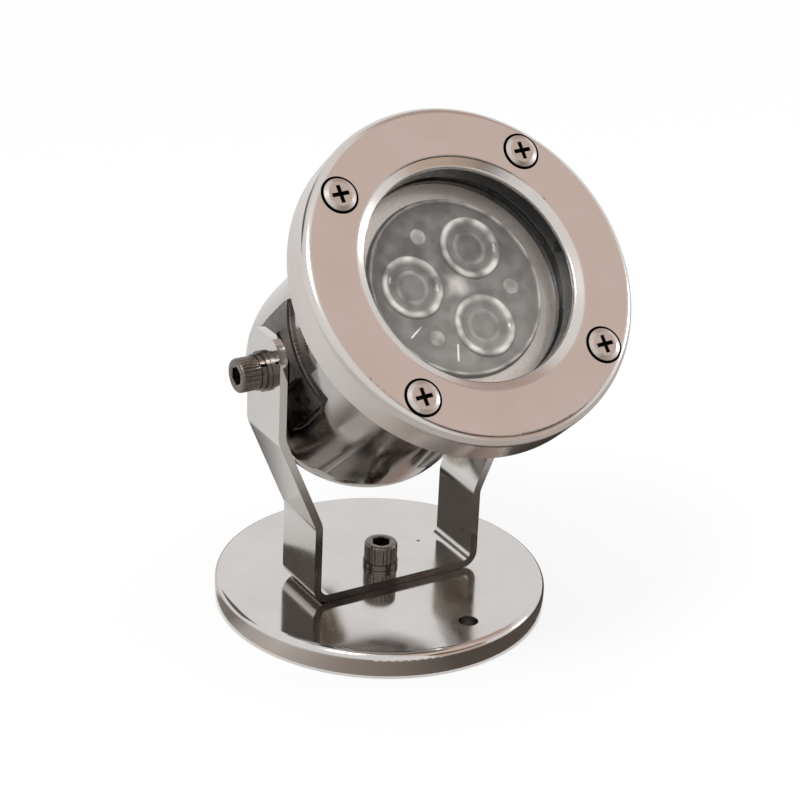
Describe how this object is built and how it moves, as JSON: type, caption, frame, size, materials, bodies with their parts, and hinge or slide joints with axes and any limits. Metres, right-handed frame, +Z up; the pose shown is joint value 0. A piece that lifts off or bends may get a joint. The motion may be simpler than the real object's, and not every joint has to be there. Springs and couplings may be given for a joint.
{
  "type": "underwater pond light",
  "caption": "Stainless underwater spotlight: a round lamp with a screwed bezel and lens optics, tilting in a bent strap yoke on a round base plate.",
  "frame": {"origin": "middle of the underside of the base plate, where the light stands on the pond floor", "axes": "+Z up; +X along the tilt pivot, towards the right side of the light; -Y the side that the lamp looks to"},
  "size_m": [0.1004, 0.1247, 0.1569],
  "materials": {
    "polished_steel": "mirror-polished stainless steel",
    "satin_steel": "satin-polished stainless steel face",
    "screw_steel": "plain stainless steel fastener",
    "weld_steel": "stainless sheet, unpolished",
    "black_rubber": "smooth black silicone rubber",
    "clear_glass": "clear toughened glass",
    "clear_optic": "clear moulded optical acrylic",
    "seat_steel": "bead-blasted stainless steel",
    "board_white": "white solder-masked aluminium board",
    "emitter": "ceramic LED package with phosphor dome",
    "aluminium": "turned aluminium",
    "board_green": "green glass-epoxy circuit board",
    "component_black": "moulded electronic component",
    "brass_plated": "nickel-plated brass",
    "wire_red": "insulated wire"
  },
  "bodies": {
    "base": {"base_plate": "polished_steel", "yoke_screw": "screw_steel", "yoke_lock_washer": "screw_steel"},
    "yoke": {"yoke": "polished_steel", "left_flat_washer": "screw_steel", "right_flat_washer": "screw_steel", "left_lock_washer": "screw_steel", "right_lock_washer": "screw_steel"},
    "lamp": {"left_lug": "weld_steel", "right_lug": "weld_steel", "left_pivot_screw": "screw_steel", "right_pivot_screw": "screw_steel", "can": "polished_steel", "can_flange": "seat_steel", "bezel_ring": "satin_steel", "flange_gasket": "black_rubber", "glass_gasket": "black_rubber", "glass": "clear_glass", "glass_seat_ring": "seat_steel", "bezel_screws": "screw_steel", "lens_plate": "clear_optic", "led_board": "board_white", "led_emitters": "emitter", "board_screws": "screw_steel", "lead_wires": "wire_red", "heat_sink": "aluminium", "driver_standoffs": "brass_plated", "driver_board": "board_green", "driver_screws": "screw_steel", "driver_inductor": "component_black", "driver_capacitor": "component_black", "driver_chip": "component_black", "gland_ring": "black_rubber", "gland_body": "brass_plated", "gland_lock_nut": "brass_plated", "gland_seal": "black_rubber", "gland_dome_nut": "brass_plated"}
  },
  "joints": [
    {"name": "yoke_swivel", "type": "hinge", "parent": "base", "child": "yoke", "pos_m": [0, 0, 0.0095], "axis": [0, 0, 1], "range_deg": [-180, 180]},
    {"name": "lamp_tilt", "type": "hinge", "parent": "yoke", "child": "lamp", "pos_m": [0, 0, 0.0826], "axis": [-1, 0, 0], "range_deg": [-72.7, 167.3]}
  ]
}
